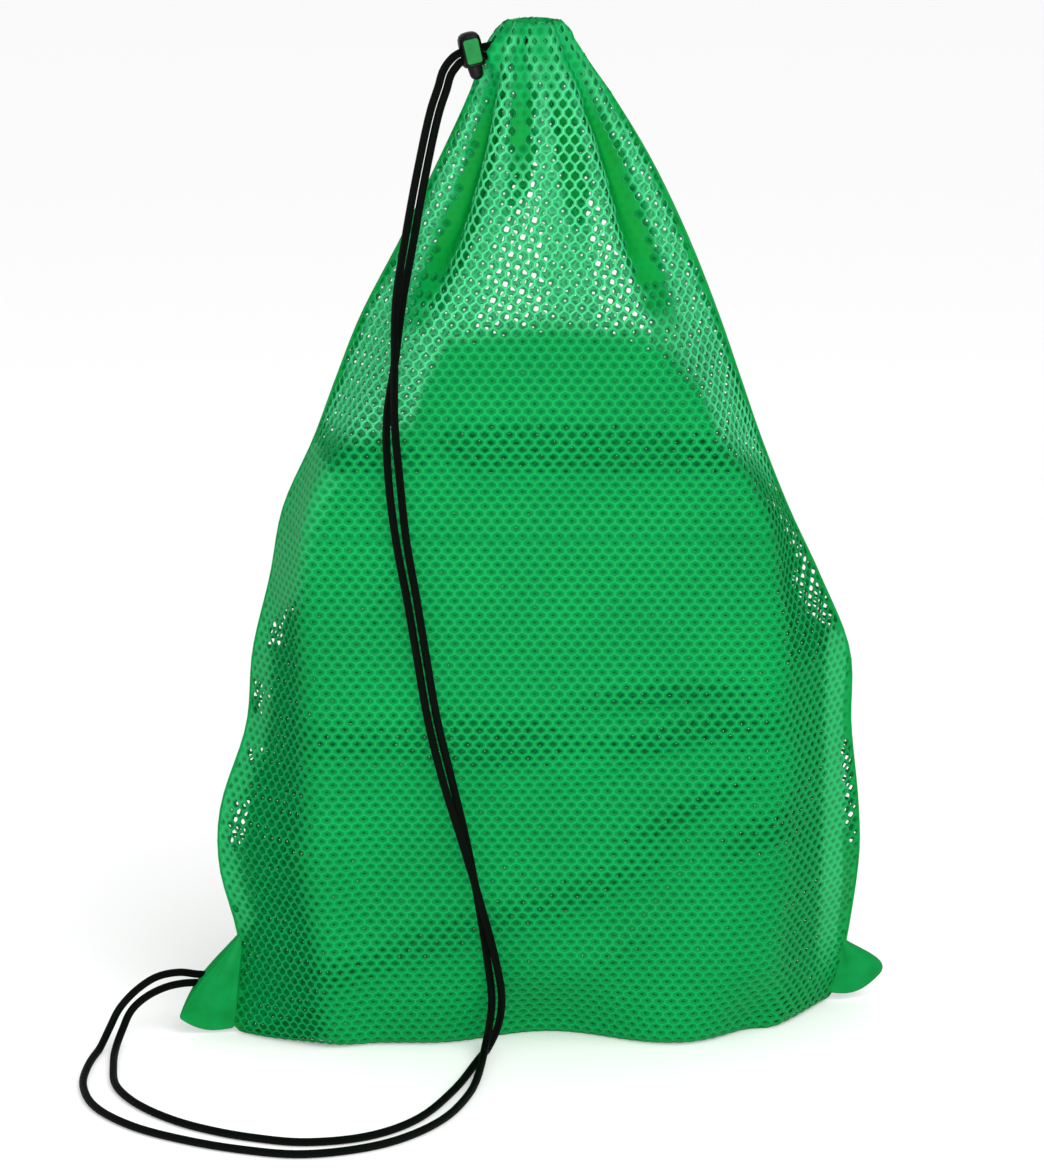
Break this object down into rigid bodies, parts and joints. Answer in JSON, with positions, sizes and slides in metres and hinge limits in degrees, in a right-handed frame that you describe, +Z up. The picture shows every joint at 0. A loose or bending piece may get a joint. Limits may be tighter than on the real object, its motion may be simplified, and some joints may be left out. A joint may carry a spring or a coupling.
{
  "type": "mesh drawstring equipment bag",
  "caption": "Tall green mesh drawstring bag with gathered mouth, flat front, sewn corners, black drawcord looped on the floor and a sprung cord lock",
  "frame": {"origin": "on the floor under the middle of the bag, without the loose strands of its cord", "axes": "+Z up to the drawn mouth, front facing -Y, cord and lock on the -X side"},
  "size_m": [0.5212, 0.3065, 0.6555],
  "materials": {
    "mesh_cloth": "open knitted polyester mesh, slightly glossy",
    "cord": "braided polyester cord",
    "lock_black": "moulded, satin",
    "lock_green": "moulded, satin"
  },
  "bodies": {
    "bag": {"front_panel": "mesh_cloth", "back_panel": "mesh_cloth", "casing": "mesh_cloth", "corner_left": "mesh_cloth", "corner_right": "mesh_cloth", "cord_in_casing": "cord", "cord_strand_a": "cord", "cord_strand_b": "cord", "lock_barrel": "lock_black", "lock_inlay_front": "lock_green", "lock_inlay_back": "lock_green"},
    "plunger": {"lock_plunger": "lock_black"}
  },
  "joints": [
    {"name": "plunger_press", "type": "slide", "parent": "bag", "child": "plunger", "axis": [-0.2215, 0, 0.9751], "range_m": [0, 0.003], "stiffness_N_per_m": 300, "springref_m": -0.005}
  ]
}
